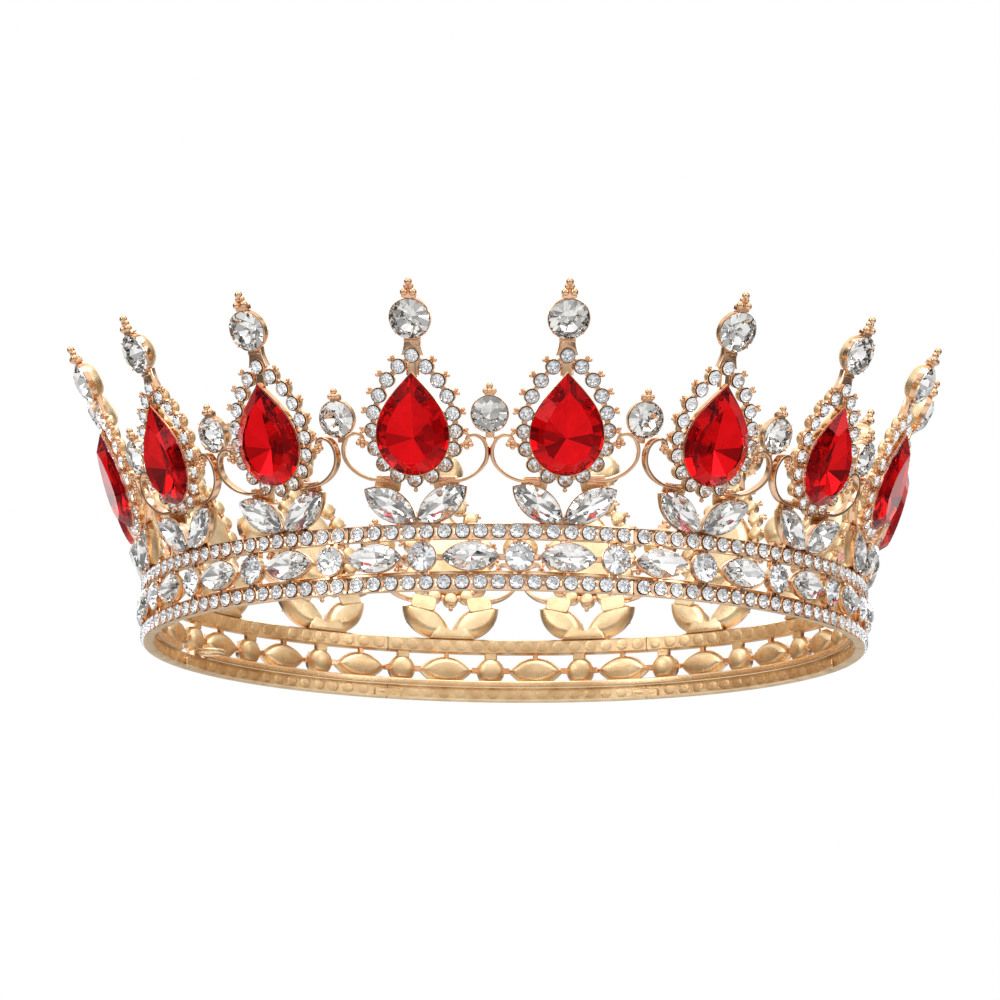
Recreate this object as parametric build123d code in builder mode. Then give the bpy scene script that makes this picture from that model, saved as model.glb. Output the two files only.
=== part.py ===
from build123d import *
import math
import os

# A full round dress crown: eight openwork band castings, sixteen leaning spire castings with a
# red pear crystal each, sixteen small cups between the spires, and a reinforcing wire inside.
# Millimetres, +Z up. The origin is the centre of the rim that the crown stands on, and the
# middle of the first band casting faces -Y.

# ---- layout round the head ----
SEGMENT_COUNT = 8
PEAK_COUNT = 16
SEGMENT_ARC = 360 / SEGMENT_COUNT
PEAK_PITCH = 360 / PEAK_COUNT
FRONT = 270
SEAM_GAP = 0.14

# ---- crystals: standard sizes of the trade ----
CHATON_DIAMETER = 2.4
BAND_ROUND_DIAMETER = 5.0
BETWEEN_DIAMETER = 6.4
TOP_DIAMETER = 7.2
NAVETTE_LENGTH = 10.0
NAVETTE_WIDTH = 5.0
PEAR_LENGTH = 18.0
PEAR_WIDTH = 13.0
GIRDLE = 0.3
ROUND_PAVILION = 0.26
SEAT_CLEARANCE = 0.03

# ---- band ----
RIM_RADIUS = 65.5
RAIL_HEIGHT = 2.8
RAIL_INNER = RIM_RADIUS - 1.9
LOWER_RAIL_Z = RAIL_HEIGHT / 2
UPPER_RAIL_Z = 10.4
MIDDLE_ROW_Z = (LOWER_RAIL_Z + UPPER_RAIL_Z) / 2
MIDDLE_ROW_RADIUS = RIM_RADIUS + 0.2
CHATONS_PER_RAIL = 16
CHATON_PITCH = 2.78
CHATON_SEAT_DEPTH = 0.95
MIDDLE_PITCH = SEGMENT_ARC / 6
FIRST_NAVETTE_ANGLE = -SEGMENT_ARC / 2 + 4.6
POST_WIDTH = 1.1
POST_DEPTH = 0.6
POST_RADIUS = MIDDLE_ROW_RADIUS - 1.75

# ---- cups ----
CUP_WALL = 0.25
CUP_RIM = 0.12
SHALLOW_CUP = 2.1
DEEP_CUP = 3.0
PEAR_CUP_DEPTH = 3.0

# ---- leaves on the upper rail ----
LEAF_RADIUS = RIM_RADIUS + 0.1
LEAF_FOOT_Z = UPPER_RAIL_Z + RAIL_HEIGHT / 2 + 0.45
LEAF_LEAN = 13
LEAF_RISE = 32.5
LEAF_TIP_GAP = 0.15
LEAF_FOOT_SIZE = (3.4, 1.8, 1.1)

# ---- spires; local x runs along the rim, y up the spire, z outwards ----
SPIRE_RADIUS = 68.2
SPIRE_Z = 20.0
SPIRE_LEAN = 19.4
FRONT_SPIRE_SWAY = 2.6
PEAR_BELLY_Y = 6.9
PEAR_TIP_ANGLE = 42
HALO_COUNT = 18
HALO_HALF_WIDTH = 7.5
HALO_TOP_Y = 21.0
HALO_BELLY_Y = 7.3
HALO_BOTTOM_Y = -0.95
HALO_TIP_ANGLE = 56
HALO_FRONT = -0.75
HALO_WIDTH = 2.9
HALO_THICKNESS = 1.7
BUD_RADIUS = 1.0
BUD_X = 9.4
BUD_Y = 5.4
BUD_Z = -1.6
DROP_RADIUS = 0.4
DROP_Y = HALO_BOTTOM_Y - 1.7
SCROLL_WIDTH = 0.62
SCROLL_DEPTH = 1.5
SCROLL_FRONT = -1.0
SCROLL_POINTS = [(6.0, -1.3), (10.4, 0.0), (12.92, 3.2), (11.9, 6.0), (8.6, 6.9)]
TAB_SIZE = (3.2, 2.2, 0.8)
TAB_X = 5.6
TAB_Y = -1.5
TAB_Z = -2.2
NECK_Y = 22.8
NECK_SIZE = (1.5, 2.6, 1.1)
NECK_Z = -1.6
TOP_TILT = 8
TOP_CUP_Y = 4.9
TOP_CAP_SIZE = (2.5, 0.8, 2.0)
TOP_CAP_Z = -0.6
BEAD_RADIUS = 0.6
FINIAL_BEADS = [(-0.95, 4.5, -0.35), (0, 4.6, -0.2), (0.95, 4.5, -0.35), (0, 5.4, -0.35), (0, 6.3, -0.35)]

# ---- cups between the spires ----
BETWEEN_RADIUS = 70.6
BETWEEN_Z = 30.2
BETWEEN_LEAN = 20
STEM_SIZE = (1.4, 1.0, 1.2)
STEM_Z = -1.2
BETWEEN_CAP_SIZE = (1.9, 0.7, 1.6)
BETWEEN_CAP_Z = -0.6
SMALL_BEAD_RADIUS = 0.5
SMALL_BEADS = [(-0.5, 4.0, -0.5), (0.5, 4.0, -0.5), (0, 4.7, -0.5)]

# ---- reinforcing wire with its hairpin eyelet ----
WIRE_THICKNESS = 0.9
WIRE_HEIGHT = 1.4
WIRE_Z = 3.05
WIRE_RADIUS = RAIL_INNER - SEAT_CLEARANCE - WIRE_THICKNESS / 2
WIRE_START = 163
WIRE_SWEEP = 350.2
WIRE_END = WIRE_START + WIRE_SWEEP - 360
EYELET_ANGLE = 156
EYELET_OUTER_RADIUS = 2.9
EYELET_WIRE_RADIUS = 0.5
EYELET_RING_RADIUS = EYELET_OUTER_RADIUS - EYELET_WIRE_RADIUS
EYELET_CENTRE_RADIUS = WIRE_RADIUS - EYELET_OUTER_RADIUS + 0.4
EYELET_TAIL_RADIUS = 0.42
EYELET_TAIL_GAP = 0.04
SOLDER_ARC = 5.5
SOLDER_THICKNESS = 0.45
SOLDER_HEIGHT = 1.7


def radial_plane(azimuth):
    """Upright plane through Z: local x is the radius, local y is the height."""
    angle = math.radians(azimuth)
    return Plane(
        origin=(0, 0, 0),
        x_dir=(math.cos(angle), math.sin(angle), 0),
        z_dir=(math.sin(angle), -math.cos(angle), 0),
    )


def setting(azimuth, radius, height, lean=0):
    """Place that faces outwards and leans over: local x runs along the rim, local y goes up."""
    angle = math.radians(azimuth)
    tilt = math.radians(lean)
    plane = Plane(
        origin=(radius * math.cos(angle), radius * math.sin(angle), height),
        x_dir=(-math.sin(angle), math.cos(angle), 0),
        z_dir=(math.cos(angle) * math.cos(tilt), math.sin(angle) * math.cos(tilt), -math.sin(tilt)),
    )
    return plane.location


def shifted(place, x, y, z=0.0, turn=0.0):
    """Place moved by local x, y and z, then turned about its own normal."""
    return place * Location((x, y, z), (0, 0, turn))


def pear_face(half_width, top_y, belly_y, bottom_y, tip_angle):
    """Pear outline with its point up: two swelling sides and an elliptical bottom."""
    side = top_y - belly_y
    drop = belly_y - bottom_y
    reach = 0.42 * side
    tip_handle = (
        reach * math.sin(math.radians(tip_angle)),
        top_y - reach * math.cos(math.radians(tip_angle)),
    )
    round_handle = 0.5523
    with BuildSketch() as sketch:
        with BuildLine():
            Bezier((0, top_y), tip_handle, (half_width, belly_y + 0.42 * side), (half_width, belly_y))
            Bezier(
                (half_width, belly_y),
                (half_width, belly_y - round_handle * drop),
                (round_handle * half_width, bottom_y),
                (0, bottom_y),
            )
            mirror(about=Plane.YZ)
        make_face()
    return sketch.sketch


def navette_face(length, width):
    """Boat outline: two arcs that meet in a point at each end of local x."""
    with BuildSketch() as sketch:
        with BuildLine():
            ThreePointArc((-length / 2, 0), (0, width / 2), (length / 2, 0))
            ThreePointArc((-length / 2, 0), (0, -width / 2), (length / 2, 0))
        make_face()
    return sketch.sketch


def round_crystal(diameter):
    """Round crystal on its seat: local z = 0 is the underside of the girdle."""
    radius = diameter / 2
    with BuildPart() as crystal:
        with BuildSketch(Plane.XZ):
            with BuildLine():
                Polyline(
                    (0, -ROUND_PAVILION * diameter),
                    (radius, 0),
                    (radius, GIRDLE),
                    (0.62 * radius, GIRDLE + 0.15 * diameter),
                    (0, GIRDLE + 0.15 * diameter),
                    close=True,
                )
            make_face()
        revolve(axis=Axis.Z)
    return crystal.part


def chaton(diameter):
    """Smallest crystal, the kind that lines the rails and halos."""
    radius = diameter / 2
    with BuildPart() as crystal:
        with BuildSketch(Plane.XZ):
            with BuildLine():
                Polyline(
                    (0, -0.3 * diameter),
                    (radius, 0),
                    (0.55 * radius, 0.17 * diameter),
                    (0, 0.17 * diameter),
                    close=True,
                )
            make_face()
        revolve(axis=Axis.Z)
    return crystal.part


def pear_inset(inset):
    """Outline of the pear crystal, drawn in by an inset all round."""
    tip_inset = inset / math.sin(math.radians(PEAR_TIP_ANGLE))
    return pear_face(
        PEAR_WIDTH / 2 - inset,
        PEAR_LENGTH - tip_inset,
        PEAR_BELLY_Y,
        inset,
        PEAR_TIP_ANGLE,
    )


def navette_inset(inset):
    """Outline of the boat crystal, drawn in by an inset all round."""
    return navette_face(NAVETTE_LENGTH - 2.4 * inset, NAVETTE_WIDTH - 2 * inset)


def stacked(outline, levels):
    """Solid through flat outlines: each level is a height and an inset of the outline."""
    with BuildPart() as solid:
        for height, inset in levels:
            with BuildSketch(Plane.XY.offset(height)):
                add(outline(inset))
        loft(ruled=True)
    return solid.part


def round_cup(diameter, depth):
    """Round cup with a bevelled back; its rim is just above the girdle of its crystal."""
    outer = diameter / 2 + CUP_WALL
    seat = diameter / 2 + SEAT_CLEARANCE
    seat_depth = -(ROUND_PAVILION + 0.01) * diameter
    rim = CUP_RIM
    with BuildPart() as cup:
        with BuildSketch(Plane.XZ):
            with BuildLine():
                Polyline(
                    (0, rim),
                    (outer, rim),
                    (0.93 * outer, -0.4 * depth),
                    (0.75 * outer, -0.8 * depth),
                    (0.4 * outer, -depth),
                    (0, -depth),
                    close=True,
                )
            make_face()
        revolve(axis=Axis.Z)
        with BuildSketch(Plane.XZ):
            with BuildLine():
                Polyline((0, rim), (seat, rim), (seat, 0), (0, seat_depth), close=True)
            make_face()
        revolve(axis=Axis.Z, mode=Mode.SUBTRACT)
    return cup.part


def outline_cup(outline, depth, seat_levels):
    """Cup of a fancy crystal: drafted wall, bevelled back, and a seat for the crystal."""
    rim = CUP_RIM
    waist = -0.45 * depth
    shell = stacked(outline, [(rim, -CUP_WALL), (waist, 0.2 * depth), (-depth, 0.45 * depth)])
    seat = stacked(outline, [(rim, -SEAT_CLEARANCE), (0, -SEAT_CLEARANCE)] + seat_levels)
    with BuildPart() as cup:
        add(shell)
        add(seat, mode=Mode.SUBTRACT)
    return cup.part


def halo_outline(margin):
    """Pear outline through the halo's crystals, grown by a margin all round."""
    return pear_face(
        HALO_HALF_WIDTH + margin,
        HALO_TOP_Y + margin / math.sin(math.radians(HALO_TIP_ANGLE)),
        HALO_BELLY_Y,
        HALO_BOTTOM_Y - margin,
        HALO_TIP_ANGLE,
    )


def halo_points():
    """Centres of the halo's crystals, evenly spaced round the outline, from the top on."""
    wire = halo_outline(0).face().outer_wire()
    count = 720
    samples = [wire.position_at(step / count) for step in range(count)]
    start = max(range(count), key=lambda step: samples[step].Y)
    spots = []
    for number in range(HALO_COUNT):
        spots.append(samples[(start + round(number * count / HALO_COUNT)) % count])
    return spots


# ---- angles ----
segment_azimuths = [FRONT + SEGMENT_ARC * number for number in range(SEGMENT_COUNT)]
peak_azimuths = [FRONT + PEAK_PITCH * (number - 0.5) for number in range(PEAK_COUNT)]
between_azimuths = [FRONT + PEAK_PITCH * number for number in range(PEAK_COUNT)]
chaton_angles = [
    CHATON_PITCH * (number - (CHATONS_PER_RAIL - 1) / 2) for number in range(CHATONS_PER_RAIL)
]
navette_angles = [FIRST_NAVETTE_ANGLE + 2 * MIDDLE_PITCH * number for number in range(3)]
round_angles = [angle + MIDDLE_PITCH for angle in navette_angles]
peak_angles = [-PEAK_PITCH / 2, PEAK_PITCH / 2]
# the two front spires are bent towards each other, so that they stand parallel from the front
spire_sways = {peak_azimuths[0]: -FRONT_SPIRE_SWAY, peak_azimuths[1]: FRONT_SPIRE_SWAY}
halo_spots = halo_points()


def chaton_places(azimuth, height):
    """Crystal seats along one rail of the band casting at an azimuth."""
    radius = RIM_RADIUS - 0.1
    return [setting(azimuth + angle, radius, height) for angle in chaton_angles]


def middle_places(azimuth, angles):
    """Crystal seats of the middle row of the band casting at an azimuth."""
    return [setting(azimuth + angle, MIDDLE_ROW_RADIUS, MIDDLE_ROW_Z) for angle in angles]


def leaf_places(azimuth):
    """The two leaf seats at one peak, whose inner tips meet over the upper rail."""
    foot = setting(azimuth, LEAF_RADIUS, LEAF_FOOT_Z, LEAF_LEAN)
    half = NAVETTE_LENGTH / 2 + 1.3 * CUP_WALL + LEAF_TIP_GAP
    reach = half * math.cos(math.radians(LEAF_RISE))
    lift = half * math.sin(math.radians(LEAF_RISE))
    return [
        shifted(foot, reach, lift, turn=LEAF_RISE),
        shifted(foot, -reach, lift, turn=-LEAF_RISE),
    ]


def spire_place(azimuth):
    """Where a spire stands: the bottom point of its pear, in the plane of the pear's girdle."""
    return shifted(
        setting(azimuth, SPIRE_RADIUS, SPIRE_Z, SPIRE_LEAN), 0, 0, turn=spire_sways.get(azimuth, 0)
    )


def top_place():
    """Seat of the round top crystal in the spire's own frame, tipped further out at the neck."""
    tilt = math.radians(TOP_TILT)
    neck = Plane(
        origin=(0, NECK_Y, -1.0),
        x_dir=(1, 0, 0),
        z_dir=(0, -math.sin(tilt), math.cos(tilt)),
    )
    return shifted(neck.location, 0, TOP_CUP_Y, 0.3)


def between_place(azimuth):
    """Seat of the round crystal between two spires."""
    return setting(azimuth, BETWEEN_RADIUS, BETWEEN_Z, BETWEEN_LEAN)


# ---- patterns made once and repeated ----
chaton_pattern = chaton(CHATON_DIAMETER)
band_round_cup = round_cup(BAND_ROUND_DIAMETER, SHALLOW_CUP)
between_cup = round_cup(BETWEEN_DIAMETER, DEEP_CUP)
top_cup = round_cup(TOP_DIAMETER, DEEP_CUP)
boat_cup = outline_cup(navette_inset, SHALLOW_CUP, [(-1.35, 1.5)])
pear_shell = outline_cup(pear_inset, PEAR_CUP_DEPTH, [(-2.2, 3.0)])
navette_crystal = stacked(navette_inset, [(GIRDLE + 1.0, 1.1), (GIRDLE, 0), (0, 0), (-1.3, 1.5)])
pear_crystal = stacked(pear_inset, [(GIRDLE + 1.8, 2.2), (GIRDLE, 0), (0, 0), (-2.1, 3.0)])

# ---- band casting: two rails, the middle row, its posts and links, and four leaf cups ----
with BuildPart() as band_pattern:
    half_gap = math.degrees(SEAM_GAP / 2 / RIM_RADIUS)
    with BuildSketch(radial_plane(FRONT - SEGMENT_ARC / 2 + half_gap)):
        with Locations(
            ((RIM_RADIUS + RAIL_INNER) / 2, LOWER_RAIL_Z),
            ((RIM_RADIUS + RAIL_INNER) / 2, UPPER_RAIL_Z),
        ):
            Rectangle(RIM_RADIUS - RAIL_INNER, RAIL_HEIGHT)
    revolve(axis=Axis.Z, revolution_arc=SEGMENT_ARC - 2 * half_gap)

    chaton_seats = chaton_places(FRONT, LOWER_RAIL_Z) + chaton_places(FRONT, UPPER_RAIL_Z)
    with Locations(*chaton_seats):
        Cylinder(CHATON_DIAMETER / 2 + SEAT_CLEARANCE, 2 * CHATON_SEAT_DEPTH, mode=Mode.SUBTRACT)

    # posts between the rails behind every stone of the middle row, and a link bar along the row
    post_height = UPPER_RAIL_Z - LOWER_RAIL_Z
    post_places = [
        setting(FRONT + angle, POST_RADIUS, MIDDLE_ROW_Z)
        for angle in navette_angles + round_angles
    ]
    with Locations(*post_places):
        Box(POST_WIDTH, post_height - RAIL_HEIGHT / 2, POST_DEPTH)
    link_arc = round_angles[-1] - navette_angles[0]
    with BuildSketch(radial_plane(FRONT + navette_angles[0])):
        with Locations((POST_RADIUS, MIDDLE_ROW_Z)):
            Rectangle(POST_DEPTH, POST_WIDTH)
    revolve(axis=Axis.Z, revolution_arc=link_arc)

    with Locations(*middle_places(FRONT, navette_angles)):
        add(boat_cup)
    with Locations(*middle_places(FRONT, round_angles)):
        add(band_round_cup)
    for peak_angle in peak_angles:
        with Locations(setting(FRONT + peak_angle, LEAF_RADIUS - 1.0, LEAF_FOOT_Z + 0.3, LEAF_LEAN)):
            Box(*LEAF_FOOT_SIZE)
        with Locations(*leaf_places(FRONT + peak_angle)):
            add(boat_cup)

for number, azimuth in enumerate(segment_azimuths, start=1):
    band_casting = band_pattern.part.moved(Location((0, 0, 0), (0, 0, azimuth - FRONT)))
    band_casting.label = f"band_casting_{number}"
    export_step(band_casting, f"parts/band_casting_{number}.step")

# ---- spire casting in its own frame: halo, pear cup, scrolls, tabs, neck and top cup ----
with BuildPart() as spire_pattern:
    with BuildSketch(Plane.XY.offset(HALO_FRONT)):
        add(halo_outline(HALO_WIDTH / 2))
        add(halo_outline(-HALO_WIDTH / 2), mode=Mode.SUBTRACT)
    extrude(amount=-HALO_THICKNESS)
    halo_seats = [Location((spot.X, spot.Y, HALO_FRONT)) for spot in halo_spots]
    add(pear_shell)

    # buds beside the scrolls, and the drop under the lowest crystal
    for side in (-1, 1):
        with Locations((side * BUD_X, BUD_Y, BUD_Z)):
            Cylinder(BUD_RADIUS, BUD_RADIUS)
    with Locations((0, DROP_Y, BUD_Z)):
        Cylinder(DROP_RADIUS, 2 * DROP_RADIUS)

    # scrolls: from the tab under the halo out to the next spire's scroll and back to the halo
    with BuildSketch(Plane.XY.offset(SCROLL_FRONT)):
        with BuildLine():
            rise = Spline(*SCROLL_POINTS, tangents=((1, 0.05), (-1, -0.1)))
        trace(rise, line_width=SCROLL_WIDTH)
        mirror(about=Plane.YZ)
    extrude(amount=-SCROLL_DEPTH)

    # flat tabs that are soldered to the tops of the leaves
    for side in (-1, 1):
        with Locations((side * TAB_X, TAB_Y, TAB_Z)):
            Box(*TAB_SIZE)

    # neck, top cup and finial
    with Locations((0, NECK_Y, NECK_Z)):
        Box(*NECK_SIZE)
    top_seat = top_place()
    with Locations(top_seat):
        add(top_cup)
    with Locations(shifted(top_seat, 0, TOP_DIAMETER / 2 + 0.45, TOP_CAP_Z)):
        Box(*TOP_CAP_SIZE)
    for x, y, z in FINIAL_BEADS:
        with Locations(shifted(top_seat, x, y, z)):
            Sphere(BEAD_RADIUS)

    with Locations(*halo_seats):
        Cylinder(
            CHATON_DIAMETER / 2 + SEAT_CLEARANCE,
            CHATON_SEAT_DEPTH,
            align=(Align.CENTER, Align.CENTER, Align.MAX),
            mode=Mode.SUBTRACT,
        )

for number, azimuth in enumerate(peak_azimuths, start=1):
    spire_casting = spire_pattern.part.moved(spire_place(azimuth))
    spire_casting.label = f"spire_casting_{number:02d}"
    export_step(spire_casting, f"parts/spire_casting_{number:02d}.step")

    red_crystal = pear_crystal.moved(spire_place(azimuth))
    red_crystal.label = f"pear_crystal_{number:02d}"
    export_step(red_crystal, f"parts/pear_crystal_{number:02d}.step")

# ---- cups between the spires, two to a band casting ----
with BuildPart() as between_pattern:
    add(between_cup)
    with Locations((0, -BETWEEN_DIAMETER / 2 - 0.5, STEM_Z)):
        Box(*STEM_SIZE)
    with Locations((0, BETWEEN_DIAMETER / 2 + 0.4, BETWEEN_CAP_Z)):
        Box(*BETWEEN_CAP_SIZE)
    with Locations(*SMALL_BEADS):
        Sphere(SMALL_BEAD_RADIUS)

for number in range(SEGMENT_COUNT):
    with BuildPart() as between_settings:
        for azimuth in between_azimuths[2 * number : 2 * number + 2]:
            with Locations(between_place(azimuth)):
                add(between_pattern.part)
    between_settings.part.label = f"between_settings_{number + 1}"
    export_step(between_settings.part, f"parts/between_settings_{number + 1}.step")

# ---- reinforcing wire along the top of the lower rail, with an eyelet at its end ----
with BuildPart() as reinforcing_wire:
    with BuildSketch(radial_plane(WIRE_START)):
        with Locations((WIRE_RADIUS, WIRE_Z)):
            RectangleRounded(WIRE_THICKNESS, WIRE_HEIGHT, 0.35)
    revolve(axis=Axis.Z, revolution_arc=WIRE_SWEEP)
reinforcing_wire.part.label = "reinforcing_wire"
export_step(reinforcing_wire.part, "parts/reinforcing_wire.step")

# the eyelet's tail runs straight from its outermost point to the end of the wire
with BuildPart() as hairpin_eyelet:
    with Locations(setting(EYELET_ANGLE, EYELET_CENTRE_RADIUS, WIRE_Z).position):
        Torus(EYELET_RING_RADIUS, EYELET_WIRE_RADIUS)
    tail_radius = EYELET_CENTRE_RADIUS + EYELET_RING_RADIUS
    tail_start = setting(EYELET_ANGLE, tail_radius, WIRE_Z).position
    tail_angle = math.radians(EYELET_ANGLE)
    tail_direction = (math.sin(tail_angle), -math.cos(tail_angle), 0)
    tail_length = tail_radius * math.tan(math.radians(EYELET_ANGLE - WIRE_END)) - EYELET_TAIL_GAP
    with BuildSketch(Plane(origin=tail_start, z_dir=tail_direction)):
        Circle(EYELET_TAIL_RADIUS)
    extrude(amount=tail_length)
hairpin_eyelet.part.label = "hairpin_eyelet"
export_step(hairpin_eyelet.part, "parts/hairpin_eyelet.step")

# ---- solder plates that bridge the seams inside the lower rail ----
with BuildPart() as seam_plates:
    for azimuth in segment_azimuths:
        seam = azimuth + SEGMENT_ARC / 2 - math.degrees(SOLDER_ARC / 2 / RAIL_INNER)
        with BuildSketch(radial_plane(seam)):
            with Locations((RAIL_INNER - SEAT_CLEARANCE - SOLDER_THICKNESS / 2, LOWER_RAIL_Z - 0.4)):
                RectangleRounded(SOLDER_THICKNESS, SOLDER_HEIGHT, 0.2)
        revolve(axis=Axis.Z, revolution_arc=math.degrees(SOLDER_ARC / RAIL_INNER))
seam_plates.part.label = "seam_plates"
export_step(seam_plates.part, "parts/seam_plates.step")


def export_crystals(name, places, pattern):
    """Write one node of loose crystals, one solid for each seat."""
    crystals = [pattern.moved(place) for place in places]
    group = Compound(label=name, children=crystals)
    export_step(group, f"parts/{name}.step")


lower_chatons = []
upper_chatons = []
band_navettes = []
band_rounds = []
for azimuth in segment_azimuths:
    lower_chatons += chaton_places(azimuth, LOWER_RAIL_Z)
    upper_chatons += chaton_places(azimuth, UPPER_RAIL_Z)
    band_navettes += middle_places(azimuth, navette_angles)
    band_rounds += middle_places(azimuth, round_angles)

leaves = []
halo_chatons = []
top_rounds = []
for azimuth in peak_azimuths:
    leaves += leaf_places(azimuth)
    place = spire_place(azimuth)
    halo_chatons += [shifted(place, spot.X, spot.Y, HALO_FRONT) for spot in halo_spots]
    top_rounds.append(place * top_place())

export_crystals("lower_rail_chatons", lower_chatons, chaton_pattern)
export_crystals("upper_rail_chatons", upper_chatons, chaton_pattern)
export_crystals("halo_chatons", halo_chatons, chaton_pattern)
export_crystals("band_navettes", band_navettes, navette_crystal)
export_crystals("leaf_navettes", leaves, navette_crystal)
export_crystals("band_rounds", band_rounds, round_crystal(BAND_ROUND_DIAMETER))
export_crystals("top_rounds", top_rounds, round_crystal(TOP_DIAMETER))
export_crystals(
    "between_rounds",
    [between_place(azimuth) for azimuth in between_azimuths],
    round_crystal(BETWEEN_DIAMETER),
)
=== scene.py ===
import math

import bmesh
import bpy
import numpy as np
from mathutils import Matrix, Quaternion, Vector, noise


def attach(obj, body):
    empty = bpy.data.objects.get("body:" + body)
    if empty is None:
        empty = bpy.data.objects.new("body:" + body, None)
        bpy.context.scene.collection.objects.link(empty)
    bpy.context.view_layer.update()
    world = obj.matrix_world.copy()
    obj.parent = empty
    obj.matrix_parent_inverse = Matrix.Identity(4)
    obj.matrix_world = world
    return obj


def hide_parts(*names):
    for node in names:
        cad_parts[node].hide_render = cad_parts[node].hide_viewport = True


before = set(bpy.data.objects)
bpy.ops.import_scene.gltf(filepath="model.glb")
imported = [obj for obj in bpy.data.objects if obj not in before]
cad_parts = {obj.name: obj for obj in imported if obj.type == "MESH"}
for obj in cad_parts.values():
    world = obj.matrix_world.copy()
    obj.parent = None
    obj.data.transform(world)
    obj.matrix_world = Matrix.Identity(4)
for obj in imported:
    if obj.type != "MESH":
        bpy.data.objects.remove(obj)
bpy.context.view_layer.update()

# The looks of a full round crown, in the CAD's frame and in millimetres until they become meshes:
# band castings, spires, the cups between them, the wire with its eyelet, and every cut crystal.
MM = 0.001

# ---- layout round the head, as the CAD has it ----
SEGMENT_COUNT = 8
PEAK_COUNT = 16
SEGMENT_ARC = 360 / SEGMENT_COUNT
PEAK_PITCH = 360 / PEAK_COUNT
FRONT = 270
SEAM_GAP = 0.14
RIM_RADIUS = 65.5
RAIL_HEIGHT = 2.8
RAIL_INNER = RIM_RADIUS - 1.9
LIP_INNER = RAIL_HEIGHT / 2 - 0.1
LOWER_RAIL_Z = RAIL_HEIGHT / 2
UPPER_RAIL_Z = 10.4
MIDDLE_ROW_Z = (LOWER_RAIL_Z + UPPER_RAIL_Z) / 2
MIDDLE_ROW_RADIUS = RIM_RADIUS + 0.2
CHATONS_PER_RAIL = 16
CHATON_PITCH = 2.78
CHATON_RADIUS = RIM_RADIUS - 0.1
COLLAR_OUTER = 1.4
MIDDLE_PITCH = SEGMENT_ARC / 6
FIRST_NAVETTE_ANGLE = -SEGMENT_ARC / 2 + 4.6

# ---- crystals and their cups ----
CHATON_DIAMETER = 2.4
BAND_ROUND_DIAMETER = 5.0
BETWEEN_DIAMETER = 6.4
TOP_DIAMETER = 7.2
NAVETTE_LENGTH = 10.0
NAVETTE_WIDTH = 5.0
NAVETTE_STEPS = 14
PEAR_LENGTH = 18.0
PEAR_WIDTH = 13.0
PEAR_BELLY_Y = 6.9
PEAR_TIP_ANGLE = 42
PEAR_STEPS = 16
GIRDLE = 0.3
CUP_WALL = 0.25
RIM_WALL = 0.17
SHALLOW_CUP = 2.1
DEEP_CUP = 3.0
PEAR_CUP_DEPTH = 3.0
CUP_CLAW = 0.2
BAND_CLAW = 0.19

# ---- leaves, spires and the cups between them ----
LEAF_RADIUS = RIM_RADIUS + 0.1
LEAF_FOOT_Z = UPPER_RAIL_Z + RAIL_HEIGHT / 2 + 0.45
LEAF_LEAN = 13
LEAF_RISE = 32.5
LEAF_TIP_GAP = 0.15
LEAF_GROWTH = 1.05
LEAF_OVERLAP = 0.25
SPIRE_RADIUS = 68.2
SPIRE_Z = 20.0
SPIRE_LEAN = 19.4
FRONT_SPIRE_SWAY = 2.6
HALO_COUNT = 18
HALO_HALF_WIDTH = 7.5
HALO_TOP_Y = 21.0
HALO_BELLY_Y = 7.3
HALO_BOTTOM_Y = -0.95
HALO_TIP_ANGLE = 56
HALO_FRONT = -0.75
HALO_BEADED = 5
NECK_Y = 22.8
NECK_Z = -1.0
TOP_TILT = 8
TOP_CUP_Y = 4.9
TOP_CUP_Z = 0.3
BETWEEN_RADIUS = 70.6
BETWEEN_Z = 30.2
BETWEEN_LEAN = 20

# ---- reinforcing wire ----
WIRE_THICKNESS = 0.9
WIRE_HEIGHT = 1.4
WIRE_Z = 3.05
WIRE_RADIUS = RAIL_INNER - 0.03 - WIRE_THICKNESS / 2
WIRE_START = 163
WIRE_SWEEP = 350.2
WIRE_END = WIRE_START + WIRE_SWEEP - 360
EYELET_ANGLE = 156
EYELET_OUTER_RADIUS = 2.9
EYELET_WIRE_RADIUS = 0.5

# finishes, as the numbers of the material slots that every metal piece carries; the third is a dark
# painted shade for hollows: cup insides, collar grooves and the channel behind the crystals
POLISHED, SATIN, PAINTED_SHADE = 0, 1, 2
# finishes of a crystal: the clear crown and the mirror behind it
CROWN, FOIL = 0, 1


# ---- places ----

def setting(azimuth, radius, height, lean=0.0):
    """Place that faces outwards and leans over: local x runs along the rim, local y goes up."""
    angle = math.radians(azimuth)
    tilt = math.radians(lean)
    out = Vector((math.cos(angle), math.sin(angle), 0))
    normal = out * math.cos(tilt) - Vector((0, 0, math.sin(tilt)))
    along = Vector((-math.sin(angle), math.cos(angle), 0))
    up = normal.cross(along)
    place = Matrix((along, up, normal)).transposed().to_4x4()
    place.translation = out * radius + Vector((0, 0, height))
    return place


def shifted(place, x, y, z=0.0, turn=0.0):
    """Place moved by local x, y and z, then turned about its own normal."""
    return place @ Matrix.Translation((x, y, z)) @ Matrix.Rotation(math.radians(turn), 4, "Z")


def chaton_places(azimuth, height):
    """Crystal seats along one rail of the band casting at an azimuth."""
    middle = (CHATONS_PER_RAIL - 1) / 2
    angles = [CHATON_PITCH * (number - middle) for number in range(CHATONS_PER_RAIL)]
    return [setting(azimuth + angle, CHATON_RADIUS, height) for angle in angles]


def middle_place(azimuth):
    """Crystal seat in the middle row of the band."""
    return setting(azimuth, MIDDLE_ROW_RADIUS, MIDDLE_ROW_Z)


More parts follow.
